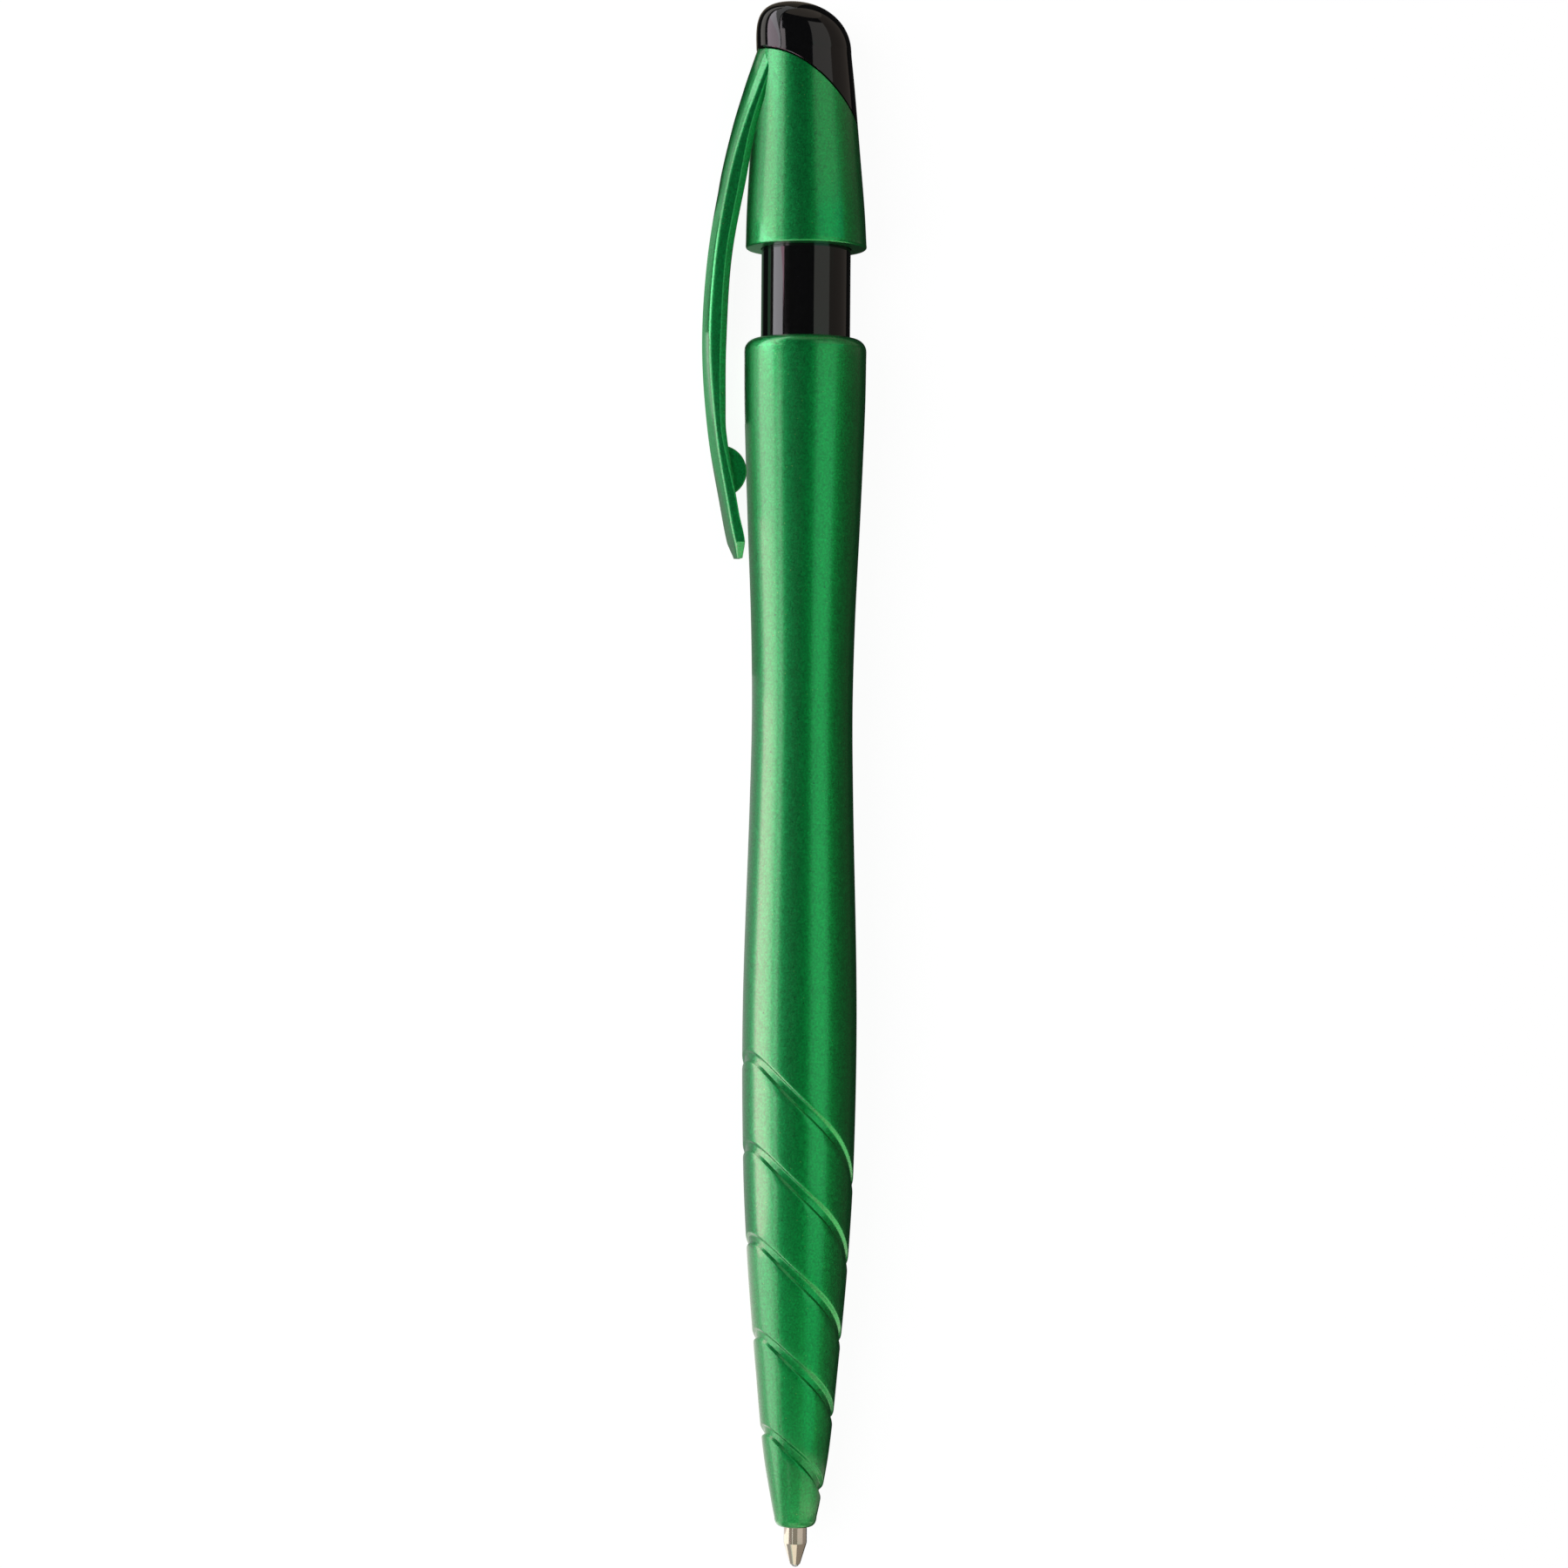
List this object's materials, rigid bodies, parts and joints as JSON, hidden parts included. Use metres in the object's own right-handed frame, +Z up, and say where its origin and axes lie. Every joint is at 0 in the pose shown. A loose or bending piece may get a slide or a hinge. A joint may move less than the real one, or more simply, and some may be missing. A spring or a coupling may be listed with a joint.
{
  "type": "push-button ballpoint pen",
  "caption": "Slim push-button ballpoint pen with a waisted green barrel, slanted grip grooves, a bowed one-piece clip and a black button tube and domed head.",
  "frame": {"origin": "middle of the box round the pen, on the desk that it lies on", "axes": "+X along the pen from the writing point to the head, +Z up, +Y to the side that the clip lies on; the pen lies on its barrel and on the edge of its clip"},
  "size_m": [0.142, 0.0146, 0.0111],
  "materials": {
    "green_metallic": "satin metallic",
    "black_gloss": "polished",
    "white_plastic": "moulded",
    "grey_plastic": "moulded",
    "clear_plastic": "extruded, translucent",
    "ink": "wet paste",
    "nickel_silver": "bright turned metal",
    "carbide": "polished",
    "spring_steel": "drawn wire"
  },
  "bodies": {
    "barrel": {"barrel": "green_metallic", "guide_sleeve": "white_plastic", "return_spring": "spring_steel"},
    "button": {"clip_sleeve": "green_metallic", "head_cap": "black_gloss", "plunger_tube": "black_gloss"},
    "refill": {"index_cam": "grey_plastic", "refill_tube": "clear_plastic", "ink_column": "ink", "refill_point": "nickel_silver"},
    "writing_ball": {"writing_ball": "carbide"}
  },
  "joints": [
    {"name": "button_press", "type": "slide", "parent": "barrel", "child": "button", "axis": [1, 0, 0], "range_m": [-0.0013, 0.0057]},
    {"name": "refill_slide", "type": "slide", "parent": "barrel", "child": "refill", "axis": [1, 0, 0], "range_m": [-0.0013, 0.0057], "deforming": ["return_spring"]},
    {"name": "ball_roll", "type": "hinge", "parent": "refill", "child": "writing_ball", "pos_m": [-0.07058, -0.00178, 0.00558], "axis": [0, 1, 0], "continuous": true}
  ],
  "couplings": [
    {"joint": "refill_slide", "follows": "button_press", "ratio": 1}
  ]
}
